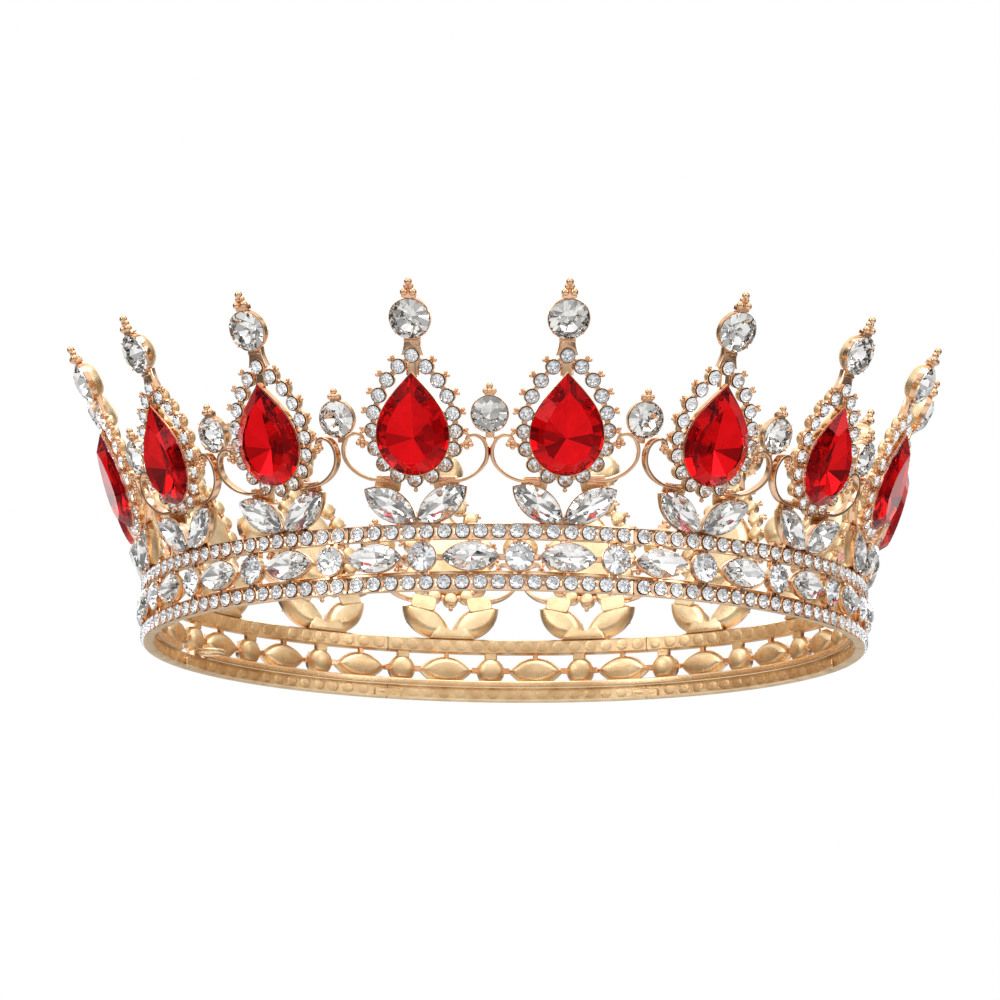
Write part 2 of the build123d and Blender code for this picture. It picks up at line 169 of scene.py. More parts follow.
def leaf_places(azimuth):
    """The two leaf seats at one peak, whose inner tips meet over the upper rail."""
    foot = setting(azimuth, LEAF_RADIUS, LEAF_FOOT_Z, LEAF_LEAN)
    half = NAVETTE_LENGTH / 2 + 1.3 * CUP_WALL + LEAF_TIP_GAP
    reach = half * math.cos(math.radians(LEAF_RISE))
    lift = half * math.sin(math.radians(LEAF_RISE))
    size = Matrix.Scale(LEAF_GROWTH, 4)
    reach += (LEAF_GROWTH - 1) * half - LEAF_OVERLAP
    return [shifted(foot, side * reach, lift, turn=side * LEAF_RISE) @ size for side in (1, -1)]


def spire_place(azimuth):
    """Where a spire stands: the bottom point of its pear, in the plane of the pear's girdle."""
    sway = spire_sways.get(azimuth, 0)
    return shifted(setting(azimuth, SPIRE_RADIUS, SPIRE_Z, SPIRE_LEAN), 0, 0, turn=sway)


def between_place(azimuth):
    """Seat of the round crystal between two spires."""
    return setting(azimuth, BETWEEN_RADIUS, BETWEEN_Z, BETWEEN_LEAN)


def top_place():
    """Seat of the round top crystal in the spire's own frame, tipped further out at the neck."""
    neck = Matrix.Translation((0, NECK_Y, NECK_Z)) @ Matrix.Rotation(math.radians(TOP_TILT), 4, "X")
    return shifted(neck, 0, TOP_CUP_Y, TOP_CUP_Z)


segment_azimuths = [FRONT + SEGMENT_ARC * number for number in range(SEGMENT_COUNT)]
peak_azimuths = [FRONT + PEAK_PITCH * (number - 0.5) for number in range(PEAK_COUNT)]
between_azimuths = [FRONT + PEAK_PITCH * number for number in range(PEAK_COUNT)]
navette_angles = [FIRST_NAVETTE_ANGLE + 2 * MIDDLE_PITCH * number for number in range(3)]
round_angles = [angle + MIDDLE_PITCH for angle in navette_angles]
# the two front spires are bent towards each other, so that they stand parallel from the front
spire_sways = {peak_azimuths[0]: -FRONT_SPIRE_SWAY, peak_azimuths[1]: FRONT_SPIRE_SWAY}


# ---- shells ----

class Shell:
    """Points in millimetres, the faces between them, and each face's finish."""

    def __init__(self, points, faces, finish=POLISHED):
        self.points = np.array(points, float).reshape(-1, 3)
        self.sizes = np.array([len(face) for face in faces], int)
        self.corners = np.array([corner for face in faces for corner in face], int)
        self.finishes = np.full(len(faces), finish, int)

    def redrawn(self, points, order=1):
        """The same faces on other points, listed in the same order or backwards."""
        copy = Shell(points, [])
        copy.sizes = self.sizes[::order]
        copy.corners = self.corners[::order]
        copy.finishes = self.finishes[::order]
        return copy

    def moved(self, place):
        """The same shell at another place."""
        matrix = np.array(place)
        return self.redrawn(self.points @ matrix[:3, :3].T + matrix[:3, 3])

    def mirrored(self):
        """The same shell mirrored across local x = 0."""
        return self.redrawn(self.points * (-1, 1, 1), -1)


def joined(shells):
    """One shell out of many."""
    whole = Shell([], [])
    starts = np.cumsum([0] + [len(shell.points) for shell in shells])
    whole.points = np.concatenate([shell.points for shell in shells])
    whole.sizes = np.concatenate([shell.sizes for shell in shells])
    whole.corners = np.concatenate([shell.corners + start for shell, start in zip(shells, starts)])
    whole.finishes = np.concatenate([shell.finishes for shell in shells])
    return whole


def skin(rings, start=None, end=None, finish=POLISHED):
    """Shell over closed rings of points. An end is open, "flat", or a point that it closes to."""
    rings = [np.array(ring, float).reshape(-1, 3) for ring in rings]
    count = len(rings[0])
    points = list(np.concatenate(rings))
    faces = []
    for row in range(len(rings) - 1):
        low = row * count
        high = low + count
        for step in range(count):
            after = (step + 1) % count
            faces.append((low + step, low + after, high + after, high + step))
    last = (len(rings) - 1) * count
    first_rim = list(range(count))[::-1]
    last_rim = list(range(last, last + count))
    for rim, cap in ((first_rim, start), (last_rim, end)):
        if isinstance(cap, str):
            faces.append(rim)
        elif cap is not None:
            faces += [(corner, after, len(points)) for corner, after in zip(rim, rim[1:] + rim[:1])]
            points.append(np.array(cap, float))
    return Shell(points, faces, finish)


def circle(radius, height, count):
    """Ring of points round local z, counter-clockwise."""
    angles = np.arange(count) * 2 * math.pi / count
    return np.stack([radius * np.cos(angles), radius * np.sin(angles), np.full(count, height)], 1)


def turned(profile, count, finish=POLISHED):
    """Body of revolution round local z from (radius, height) pairs, listed from the bottom up."""
    rings = [circle(radius, height, count) for radius, height in profile if radius > 0]
    start = (0, 0, profile[0][1]) if profile[0][0] == 0 else None
    end = (0, 0, profile[-1][1]) if profile[-1][0] == 0 else None
    return skin(rings, start, end, finish)


def bead(radius, x=0.0, y=0.0, z=0.0, count=14):
    """Small ball."""
    rows = 8
    profile = []
    for row in range(rows + 1):
        angle = math.pi * (row / rows - 0.5)
        reach = 0.0 if row in (0, rows) else radius * math.cos(angle)
        profile.append((reach, radius * math.sin(angle)))
    return turned(profile, count).moved(Matrix.Translation((x, y, z)))


def pillow(outline, levels, back=None, front=None, finish=POLISHED):
    """Shell over one outline drawn at several (height, inset) levels, from the back forwards."""
    rings = []
    for height, inset in levels:
        flat = outline(inset)
        rings.append(np.column_stack([flat, np.full(len(flat), height)]))
    return skin(rings, back, front, finish)


def rounded_block(width, height, low, high, corner, edge, finish=POLISHED):
    """Block with rounded corners and softened edges, centred on local x and y."""
    def outline(inset):
        return rounded_rectangle(width - 2 * inset, height - 2 * inset, max(corner - inset, 0.02))
    levels = [(low, edge), (low + edge, 0), (high - edge, 0), (high, edge)]
    return pillow(outline, levels, "flat", "flat", finish)


def rounded_rectangle(width, height, corner, steps=4):
    """Points of a rectangle with round corners, counter-clockwise."""
    points = []
    for quarter in range(4):
        turn = quarter * math.pi / 2
        sign_x = 1 if quarter in (0, 3) else -1
        sign_y = 1 if quarter in (0, 1) else -1
        for step in range(steps + 1):
            angle = turn + step * math.pi / 2 / steps
            points.append((
                sign_x * (width / 2 - corner) + corner * math.cos(angle),
                sign_y * (height / 2 - corner) + corner * math.sin(angle),
            ))
    return np.array(points)


def swept(path, section):
    """Section swept along a path of points: section x goes sideways, section y goes up."""
    path = np.array(path, float)
    ahead = np.gradient(path, axis=0)
    ahead /= np.linalg.norm(ahead, axis=1)[:, None]
    side = np.cross((0.0, 0.0, 1.0), ahead)
    side /= np.linalg.norm(side, axis=1)[:, None]
    above = np.cross(ahead, side)
    rings = []
    for spot, across, over in zip(path, side, above):
        rings.append(spot + section[:, :1] * across + section[:, 1:] * over)
    return skin(rings, "flat", "flat")


def rod(path, radius, count):
    """Round rod along a path of points."""
    return swept(path, circle(radius, 0, count)[:, :2])


def round_the_head(profile, start, end, steps):
    """Section of (radius, height) pairs swept round the head from one azimuth to another."""
    rings = []
    for azimuth in np.radians(np.linspace(start, end, steps + 1)):
        rings.append([
            (radius * math.cos(azimuth), radius * math.sin(azimuth), height)
            for radius, height in profile
        ])
    return skin(rings, "flat", "flat")


def smooth_path(knots):
    """Points on a smooth curve through the knots."""
    per_leg = 10
    knots = [Vector(knot) for knot in knots]
    ends = [2 * knots[0] - knots[1]] + knots + [2 * knots[-1] - knots[-2]]
    points = []
    for leg in range(len(knots) - 1):
        before, here, there, after = ends[leg : leg + 4]
        for step in range(per_leg):
            t = step / per_leg
            straight = 2 * here + (there - before) * t
            bend = (2 * before - 5 * here + 4 * there - after) * t**2
            twist = (3 * here - before - 3 * there + after) * t**3
            points.append(0.5 * (straight + bend + twist))
    points.append(knots[-1])
    return [tuple(point) for point in points]


# ---- outlines ----

def bezier(start, handle, other_handle, end, steps):
    """Points on a Bezier curve, without its last one."""
    t = np.arange(steps)[:, None] / steps
    corners = [np.array(corner, float) for corner in (start, handle, other_handle, end)]
    return (
        (1 - t) ** 3 * corners[0]
        + 3 * (1 - t) ** 2 * t * corners[1]
        + 3 * (1 - t) * t**2 * corners[2]
        + t**3 * corners[3]
    )


def pear_points(half_width, top_y, belly_y, bottom_y, tip_angle, steps):
    """Pear outline with its point up, counter-clockwise from the tip."""
    side = top_y - belly_y
    drop = belly_y - bottom_y
    reach = 0.42 * side
    slant = math.radians(tip_angle)
    tip_handle = (-reach * math.sin(slant), top_y - reach * math.cos(slant))
    round_handle = 0.5523
    belly = (-half_width, belly_y)
    bottom = (0, bottom_y)
    fuller = (-half_width, belly_y - round_handle * drop)
    flatter = (-round_handle * half_width, bottom_y)
    left = np.concatenate([
        bezier((0, top_y), tip_handle, (-half_width, belly_y + reach), belly, steps),
        bezier(belly, fuller, flatter, bottom, steps),
    ])
    right = left[1:][::-1] * (-1, 1)
    return np.concatenate([left, [bottom], right])


def pear_outline(inset):
    """Outline of the pear crystal, drawn in by an inset all round."""
    tip_inset = inset / math.sin(math.radians(PEAR_TIP_ANGLE))
    half_width = PEAR_WIDTH / 2 - inset
    top_y = PEAR_LENGTH - tip_inset
    return pear_points(half_width, top_y, PEAR_BELLY_Y, inset, PEAR_TIP_ANGLE, PEAR_STEPS)


def navette_outline(inset):
    """Boat outline drawn in by an inset: two arcs that meet in a point at each end."""
    half = NAVETTE_LENGTH / 2 - 1.2 * inset
    wide = NAVETTE_WIDTH / 2 - inset
    radius = (half**2 + wide**2) / (2 * wide)
    reach = math.asin(half / radius)
    angles = np.linspace(-reach, reach, NAVETTE_STEPS + 1)[:-1]
    lower = np.stack([radius * np.sin(angles), radius - wide - radius * np.cos(angles)], 1)
    return np.concatenate([lower, -lower])


def halo_points():
    """Centres of the halo's crystals, evenly spaced round the outline, from the top on."""
    outline = pear_points(HALO_HALF_WIDTH, HALO_TOP_Y, HALO_BELLY_Y, HALO_BOTTOM_Y, HALO_TIP_ANGLE, 60)
    closed = np.concatenate([outline, outline[:1]])
    lengths = np.concatenate([[0], np.cumsum(np.linalg.norm(np.diff(closed, axis=0), axis=1))])
    wanted = np.arange(HALO_COUNT) * lengths[-1] / HALO_COUNT
    across = np.interp(wanted, lengths, closed[:, 0])
    up = np.interp(wanted, lengths, closed[:, 1])
    return [(float(x), float(y)) for x, y in zip(across, up)]


# ---- crystals ----

def cut_away(stone, point, normal):
    """Grind one flat facet: remove what lies beyond a plane and close the cut."""
    geometry = stone.verts[:] + stone.edges[:] + stone.faces[:]
    cut = bmesh.ops.bisect_plane(
        stone, geom=geometry, dist=1e-4, plane_co=point, plane_no=normal, clear_outer=True
    )
    edges = [item for item in cut["geom_cut"] if isinstance(item, bmesh.types.BMEdge)]
    if len(edges) > 2:
        bmesh.ops.edgenet_fill(stone, edges=edges)


def support(outline, angle):
    """Point of an outline that lies furthest in a direction, and that direction."""
    direction = np.array((math.cos(math.radians(angle)), math.sin(math.radians(angle))))
    return outline[int(np.argmax(outline @ direction))], direction


def cut_stone(outline, table, slope, crown_angles, culet, back_angles):
    """Crystal ground out of an upright block: a table, crown facets that fall outwards to the girdle
    at one slope, and back facets from the girdle down to the culet."""
    margin = 0.2
    stone = bmesh.new()
    low = [stone.verts.new((x, y, culet[2] - margin)) for x, y in outline]
    high = [stone.verts.new((x, y, table + margin)) for x, y in outline]
    stone.faces.new(low[::-1])
    stone.faces.new(high)
    for step in range(len(outline)):
        after = (step + 1) % len(outline)
        stone.faces.new((low[step], low[after], high[after], high[step]))
    cut_away(stone, (0, 0, table), (0, 0, 1))
    tilt = math.radians(slope)
    for angle in crown_angles:
        edge, direction = support(outline, angle)
        normal = (direction[0] * math.sin(tilt), direction[1] * math.sin(tilt), math.cos(tilt))
        cut_away(stone, (edge[0], edge[1], GIRDLE), normal)
    for angle in back_angles:
        edge, direction = support(outline, angle)
        corner = Vector((edge[0], edge[1], 0))
        tangent = Vector((-direction[1], direction[0], 0))
        normal = tangent.cross(Vector(culet) - corner)
        if normal.z > 0:
            normal = -normal
        cut_away(stone, corner, normal)
    stone.normal_update()
    stone.verts.index_update()
    points = [tuple(vertex.co) for vertex in stone.verts]
    faces = [tuple(vertex.index for vertex in face.verts) for face in stone.faces]
    shell = Shell(points, faces, CROWN)
    # the foil covers the back and the girdle
    for number, face in enumerate(stone.faces):
        if face.normal.z < 0.05:
            shell.finishes[number] = FOIL
    stone.free()
    return shell


def round_stone(diameter, sides=32):
    """Round crystal: table and eight kites over an eight-fold back."""
    outline = circle(diameter / 2, 0, sides)[:, :2]
    kites = [number * 45 for number in range(8)]
    back = [number * 45 + 22.5 for number in range(8)]
    return cut_stone(outline, GIRDLE + 0.15 * diameter, 33, kites, (0, 0, -0.4 * diameter), back)


def navette_stone():
    """Boat crystal with a long table and large back facets."""
    crown = (0, 62, 79, 101, 118, 180, 242, 259, 281, 298)
    back = (57, 78, 102, 123, 237, 258, 282, 303)
    return cut_stone(navette_outline(0), GIRDLE + 1.0, 34, crown, (0, 0, -1.25), back)


def pear_stone():
    """Pear crystal: broad table, bevelled edge, and back facets that meet under the belly."""
    crown = []
    back = []
    for side in (1, -1):
        crown += [90 + side * (angle - 90) for angle in (44, 30, 14, -4, -24, -46, -68)]
        back += [90 + side * (angle - 90) for angle in (42, 16, -4, -36, -74)]
    crown.append(-90)
    return cut_stone(pear_outline(0), GIRDLE + 1.7, 38, crown, (0, PEAR_BELLY_Y - 0.5, -2.0), back)


# ---- cups ----

def round_cup(diameter, depth):
    """Open cup of a round crystal: painted shade inside, a thin polished rim and a satin domed back."""
    seat = diameter / 2 + 0.03
    outer = diameter / 2 + RIM_WALL
    rim = 0.14
    inside = turned([
        (seat, rim - 0.05), (seat, -0.06), (0.3 * diameter, -0.2 * diameter - 0.05),
        (0, -0.42 * diameter - 0.05),
    ], 36, PAINTED_SHADE)
    edge = turned([
        (0.985 * outer, -0.3 * depth), (outer, -0.12 * depth), (outer, rim - 0.06),
        (outer - 0.06, rim), (seat + 0.05, rim), (seat, rim - 0.05),
    ], 36)
    back = turned([
        (0, -depth), (0.3 * outer, -0.985 * depth), (0.55 * outer, -0.92 * depth),
        (0.76 * outer, -0.78 * depth), (0.9 * outer, -0.56 * depth), (0.985 * outer, -0.3 * depth),
    ], 36, SATIN)
    return joined([inside, edge, back])


def outline_cup(outline, depth, floor):
    """Open cup of a fancy crystal, with the same parts as a round one, painted shade inside included."""
    rim = 0.12
    inside = pillow(outline, [(rim - 0.04, -0.03), (-0.1, -0.03), (floor, 1.7)], None, "flat", PAINTED_SHADE)
    edge = pillow(outline, [
        (-0.3 * depth, -RIM_WALL + 0.03), (-0.1 * depth, -RIM_WALL), (rim - 0.06, -RIM_WALL),
        (rim, -RIM_WALL + 0.05), (rim, -0.07), (rim - 0.04, -0.03),
    ])
    back = pillow(outline, [
        (-depth, 0.62 * depth), (-0.97 * depth, 0.5 * depth), (-0.87 * depth, 0.3 * depth),
        (-0.7 * depth, 0.14 * depth), (-0.5 * depth, 0.02 * depth), (-0.3 * depth, -RIM_WALL + 0.03),
    ], "flat", None, SATIN)
    return joined([inside, edge, back])


def claw(x, y, angle, size):
    """Small prong bent over the edge of a crystal, pointing at its middle."""
    grip = bead(1.0, count=10).moved(Matrix.Diagonal((size * 1.5, size * 0.8, size * 0.62, 1)))
    turn = Matrix.Rotation(math.radians(angle), 4, "Z")
    return grip.moved(Matrix.Translation((x, y, GIRDLE + 0.1)) @ turn)


def round_claws(diameter, size):
    """Four prongs round a crystal."""
    reach = diameter / 2 - 0.05
    claws = []
    for angle in (45, 135, 225, 315):
        x = reach * math.cos(math.radians(angle))
        y = reach * math.sin(math.radians(angle))
        claws.append(claw(x, y, angle, size))
    return joined(claws)


def navette_claws():
    """Four prongs on the shoulders of a boat crystal."""
    edge = navette_outline(0)[:NAVETTE_STEPS]
    shoulder = 2.9
    claws = []
    for side in (1, -1):
        for x in (-shoulder, shoulder):
            y = abs(float(np.interp(x, edge[:, 0], edge[:, 1]))) - 0.02
            claws.append(claw(x, side * y, side * math.copysign(60, x), BAND_CLAW))
    return joined(claws)


# ---- band castings ----

def rail(height):
    """One rail of the front band casting: bright lips, and a hollow round every crystal."""
    half_gap = math.degrees(SEAM_GAP / 2 / RIM_RADIUS)
    edge = 0.08
    back = RAIL_INNER + 0.09
    half = RAIL_HEIGHT / 2
    start = FRONT - SEGMENT_ARC / 2 + half_gap
    end = FRONT + SEGMENT_ARC / 2 - half_gap
    half_section = [
        (RIM_RADIUS - 1.2, LIP_INNER), (RIM_RADIUS - 0.2, LIP_INNER), (RIM_RADIUS, LIP_INNER),
        (RIM_RADIUS - edge, half), (RAIL_INNER + 0.6, half), (back, half - 0.3),
    ]
    profile = [(radius, height - reach) for radius, reach in half_section]
    profile += [(radius, height + reach) for radius, reach in half_section[::-1]]
    steps = 48
    shell = round_the_head(profile[::-1], start, end, steps)
    # the last face, the floor of the channel behind the crystals, gets painted shade
    finishes = [POLISHED] * 3 + [SATIN] * 5 + [POLISHED] * 3 + [PAINTED_SHADE]
    shell.finishes[: steps * len(profile)] = np.tile(finishes, steps)
    return shell


def chaton_cell(left, right):
    """Face of the rail round one small crystal: it dips a little between neighbours."""
    count = 32
    foot = []
    border = []
    for angle in (np.arange(count) + 0.5) * 2 * math.pi / count:
        x = math.cos(angle)
        y = math.sin(angle)
        wide = right if x > 0 else left
        reach = min(wide / abs(x), LIP_INNER / abs(y))
        sunk = 0.0 if abs(reach * y) > LIP_INNER - 0.01 else -0.16
        foot.append((COLLAR_OUTER * x, COLLAR_OUTER * y, -0.08))
        border.append((reach * x, reach * y, sunk))
    return skin([foot, border])


def chaton_collar():
    """Raised rim round one small crystal of a rail, with painted shade in the groove inside it."""
    inner = CHATON_DIAMETER / 2 + 0.1
    collar = turned([
        (COLLAR_OUTER, -0.32), (COLLAR_OUTER, 0.02), (COLLAR_OUTER - 0.03, 0.06), (inner + 0.02, 0.06),
        (inner, 0.02),
    ], 28)
    groove = turned([(inner, 0.02), (inner, -0.35), (inner, -0.95), (0, -1.05)], 24, PAINTED_SHADE)
    return joined([collar, groove])


def chaton_back():
    """Rounded bump behind one small crystal, on the inner face of a rail."""
    def outline(inset):
        return rounded_rectangle(2.6 - 2 * inset, 2.3 - 2 * inset, max(1.1 - 0.95 * inset, 0.06))
    depth = CHATON_RADIUS - RAIL_INNER
    levels = [
        (-depth + 0.02, 0.9), (-depth + 0.03, 0.6), (-depth + 0.055, 0.3), (-depth + 0.1, 0.08),
        (-depth + 0.15, 0),
    ]
    return pillow(outline, levels, "flat", None, SATIN)


def leaf_foot():
    """Filed patch that runs from the backs of two leaves down on to the upper rail."""
    spread = [
        (-2.9, 1.7), (-3.7, 0.2), (-4.2, -0.9), (0, -0.9), (4.2, -0.9), (3.7, 0.2), (2.9, 1.7),
        (1.2, 1.0), (0, 0.75), (-1.2, 1.0),
    ]
    def outline(inset):
        middle = np.array((0, 0.2))
        return middle + (np.array(spread) - middle) * (1 - inset / 3)
    levels = [(-2.3, 0.95), (-2.2, 0.4), (-1.95, 0.05), (-1.3, 0)]
    return pillow(outline, levels, "flat", "flat", SATIN)


def band_casting():
    """The band casting that faces the front: rails, collars, cups, posts, links and leaf cups."""
    shells = [rail(LOWER_RAIL_Z), rail(UPPER_RAIL_Z)]
    collar = chaton_collar()
    back = chaton_back()
    half_cell = CHATON_RADIUS * math.tan(math.radians(CHATON_PITCH / 2))
    last_angle = SEGMENT_ARC / 2 - CHATON_PITCH * (CHATONS_PER_RAIL - 1) / 2
    end_cell = CHATON_RADIUS * math.radians(last_angle) - SEAM_GAP / 2
    for height in (LOWER_RAIL_Z, UPPER_RAIL_Z):
        for number, place in enumerate(chaton_places(FRONT, height)):
            left = end_cell if number == 0 else half_cell
            right = end_cell if number == CHATONS_PER_RAIL - 1 else half_cell
            cell = chaton_cell(left, right)
            shells += [cell.moved(place), collar.moved(place), back.moved(place)]

    boat = joined([outline_cup(navette_outline, SHALLOW_CUP, -1.75), navette_claws()])
    claws = round_claws(BAND_ROUND_DIAMETER, BAND_CLAW)
    small_round = joined([round_cup(BAND_ROUND_DIAMETER, SHALLOW_CUP + 0.1), claws])
    # posts from each cup to the rails, in pairs with a web at the round cups, and links between cups
    post_y = (UPPER_RAIL_Z - LOWER_RAIL_Z - RAIL_HEIGHT) / 2 - 0.45
    post = rounded_block(0.85, 1.3, -1.5, -0.5, 0.1, 0.1)
    web = rounded_block(2.2, 1.3, -1.75, -1.2, 0.1, 0.1, SATIN)
    link = rounded_block(1.5, 1.0, -1.5, -0.55, 0.2, 0.12)
    link_x = NAVETTE_LENGTH / 2 + 0.55
    for angle in navette_angles:
        place = middle_place(FRONT + angle)
        shells.append(boat.moved(place))
        for side in (-1, 1):
            shells.append(post.moved(shifted(place, 0, side * post_y)))
            shells.append(link.moved(shifted(place, side * link_x, 0, -0.2)))
    for angle in round_angles:
        place = middle_place(FRONT + angle)
        shells.append(small_round.moved(place))
        for side in (-1, 1):
            shells.append(web.moved(shifted(place, 0, side * post_y)))
            for offset in (-0.75, 0.75):
                shells.append(post.moved(shifted(place, offset, side * post_y)))

    for peak in (FRONT - PEAK_PITCH / 2, FRONT + PEAK_PITCH / 2):
        shells += [boat.moved(place) for place in leaf_places(peak)]
        shells.append(leaf_foot().moved(setting(peak, LEAF_RADIUS, LEAF_FOOT_Z, LEAF_LEAN)))
    return joined(shells)


# ---- spire casting ----

def scroll():
    """Flat-faced C scroll from the tab under the halo out to the neighbour and back."""
    route = smooth_path([
        (5.6, -1.25, -1.75), (8.2, -1.0, -1.75), (10.6, 0.1, -1.75), (12.4, 2.0, -1.75),
        (12.92, 4.2, -1.75), (12.3, 6.1, -1.75), (10.9, 7.0, -1.75), (9.6, 6.7, -1.75),
        (9.3, 5.7, -1.75),
    ])
    return swept(route, rounded_rectangle(0.62, 1.5, 0.16, 3))


def double_bead(spot, outward):
    """Two small beads on stems, outside a halo crystal."""
    x, y = spot
    dx, dy = outward
    shells = []
    root = Vector((x + 1.2 * dx, y + 1.2 * dy, HALO_FRONT - 0.75))
    for side in (-0.36, 0.36):
        tip = Vector((x + 1.95 * dx - side * dy, y + 1.95 * dy + side * dx, HALO_FRONT - 0.25))
        shells.append(bead(0.36, *tip, count=10))
        shells.append(rod([tuple(root), tuple((root + tip) / 2), tuple(tip)], 0.31, 8))
    return joined(shells)


def flower():
    """Bud beside the scroll: four beads pressed together."""
    beads = [
        bead(0.5, 9.3, 5.75, -1.2), bead(0.5, 10.1, 5.35, -1.2), bead(0.48, 9.35, 4.85, -1.2),
        bead(0.42, 9.85, 5.95, -1.35), bead(0.4, 8.75, 5.3, -1.45),
    ]
    stalk = rod([(8.0, 5.0, -1.7), (8.8, 5.2, -1.6), (9.6, 5.4, -1.5)], 0.42, 10)
    return joined(beads + [stalk])


def ridged_tab():
    """Flat tab under the halo, soldered to the top of a leaf, with three ridges."""
    plate = rounded_block(3.4, 1.7, -2.5, -1.75, 0.2, 0.1).moved(Matrix.Translation((5.5, -1.35, 0)))
    backing = rounded_block(4.6, 2.9, -2.75, -2.35, 0.7, 0.1, SATIN).moved(
        Matrix.Translation((5.3, -2.2, 0)) @ Matrix.Rotation(math.radians(12), 4, "Z")
    )
    ridges = []
    for y in (-0.8, -1.3, -1.8):
        ridges.append(rod([(4.0, y - 0.05, -1.72), (5.5, y, -1.66), (7.1, y + 0.05, -1.72)], 0.16, 8))
    return joined([plate, backing] + ridges)


def neck_plate():
    """Waisted neck from the top halo crystal to the top cup, with a ridge across it."""
    spread = [
        (-2.0, -1.9), (-1.43, -1.75), (-1.3, -1.2), (-1.05, -0.8), (-0.6, -0.5), (0, -0.35),
        (0.6, -0.5), (1.05, -0.8), (1.3, -1.2), (1.43, -1.75), (2.0, -1.9), (1.75, -1.1),
        (1.5, -0.2), (1.42, 0.6), (1.45, 1.6), (-1.45, 1.6), (-1.42, 0.6), (-1.5, -0.2), (-1.75, -1.1),
    ]
    def outline(inset):
        return np.array(spread) * (1 - inset / 2) + (0, NECK_Y)
    levels = [(-2.2, 0.2), (-2.05, 0.05), (-1.3, 0), (-1.05, 0.04), (-0.9, 0.11), (-0.85, 0.2)]
    plate = pillow(outline, levels, "flat", "flat")
    ridge = rounded_block(2.7, 0.5, -1.0, -0.6, 0.12, 0.1).moved(Matrix.Translation((0, NECK_Y + 0.75, 0)))
    return joined([plate, ridge])


def finial(cap_y, cap_width, beads):
    """Cap on the top of a round cup with a small pile of beads."""
    cap = rounded_block(cap_width, 0.9, -1.3, 0.05, 0.2, 0.12).moved(Matrix.Translation((0, cap_y, 0)))
    return joined([cap] + [bead(radius, x, y, z) for x, y, z, radius in beads])


def halo_link(here, there):
    """Short bar from one halo cup to the next."""
    gap = (there - here).normalized() * 1.3
    route = [
        (*(here + gap), HALO_FRONT - 0.75), (*((here + there) / 2), HALO_FRONT - 0.72),
        (*(there - gap), HALO_FRONT - 0.75),
    ]
    return swept(route, rounded_rectangle(1.0, 0.95, 0.2, 3))


def halo():
    """Cups of the small crystals round the pear, the bars between them and the beads outside."""
    cup = turned([
        (0, -1.75), (0.7, -1.72), (1.12, -1.6), (1.32, -1.35), (1.4, -0.9), (1.42, -0.3),
    ], 24, SATIN)
    halo_cup = joined([chaton_collar(), cup])
    spots = [Vector(spot) for spot in halo_points()]
    centre = Vector((0, HALO_BELLY_Y))
    shells = []
    for number, here in enumerate(spots):
        there = spots[(number + 1) % HALO_COUNT]
        shells.append(halo_cup.moved(Matrix.Translation((here.x, here.y, HALO_FRONT))))
        shells.append(halo_link(here, there))
        along = (there - spots[number - 1]).normalized()
        outward = Vector((-along.y, along.x))
        if (here - centre).dot(outward) < 0:
            outward = -outward
        if 1 <= min(number, HALO_COUNT - number) <= HALO_BEADED:
            shells.append(double_bead(here, outward))
    return joined(shells)


def drop_bead():
    """Bead that hangs under the lowest halo cup."""
    end_y = HALO_BOTTOM_Y - 1.75
    stem = rod([(0, end_y + 0.9, -1.4), (0, end_y + 0.4, -1.4), (0, end_y, -1.35)], 0.3, 10)
    return joined([bead(0.42, 0, end_y - 0.15, -1.3), stem])


def spire_casting():
    """A spire in its own frame: halo, pear cup, scrolls, tabs, neck, top cup and finial."""
    bridge = [(0, 19.8, -1.7), (0, 19.0, -1.5), (0, 17.4, -1.2)]
    shells = [
        halo(),
        outline_cup(pear_outline, PEAR_CUP_DEPTH, -2.8),
        swept(bridge, rounded_rectangle(2.3, 1.1, 0.45)),
    ]
    for side_shell in (scroll(), flower(), ridged_tab()):
        shells += [side_shell, side_shell.mirrored()]
    top = joined([
        round_cup(TOP_DIAMETER, DEEP_CUP),
        round_claws(TOP_DIAMETER, CUP_CLAW),
        finial(TOP_DIAMETER / 2 + 0.5, 2.6, [
            (-0.78, 4.8, -0.1, 0.74), (0.78, 4.8, -0.1, 0.74), (0, 4.75, -0.7, 0.7),
            (-0.38, 5.75, -0.45, 0.56), (0.38, 5.75, -0.45, 0.56), (0, 6.6, -0.4, 0.72),
        ]),
    ])
    return joined(shells + [drop_bead(), neck_plate(), top.moved(top_place())])


def between_setting():
    """Cup between two spires with its stem and small finial."""
    below = Matrix.Translation((0, -BETWEEN_DIAMETER / 2 - 0.5, 0))
    stem = rounded_block(1.5, 1.4, -1.9, -0.7, 0.2, 0.12).moved(below)
    crest = finial(BETWEEN_DIAMETER / 2 + 0.35, 1.8, [
        (-0.66, 4.05, -0.2, 0.62), (0.66, 4.05, -0.2, 0.62), (0, 4.1, 0.1, 0.5), (0, 4.9, -0.3, 0.64),
    ])
    claws = round_claws(BETWEEN_DIAMETER, CUP_CLAW)
    return joined([round_cup(BETWEEN_DIAMETER, DEEP_CUP), claws, stem, crest])


# ---- wire, eyelet and solder ----

def reinforcing_wire():
    """Flat hoop along the top of the lower rail, open at the eyelet."""
    profile = rounded_rectangle(WIRE_THICKNESS, WIRE_HEIGHT, 0.3) + (WIRE_RADIUS, WIRE_Z)
    return round_the_head(profile, WIRE_START, WIRE_START + WIRE_SWEEP, 360)


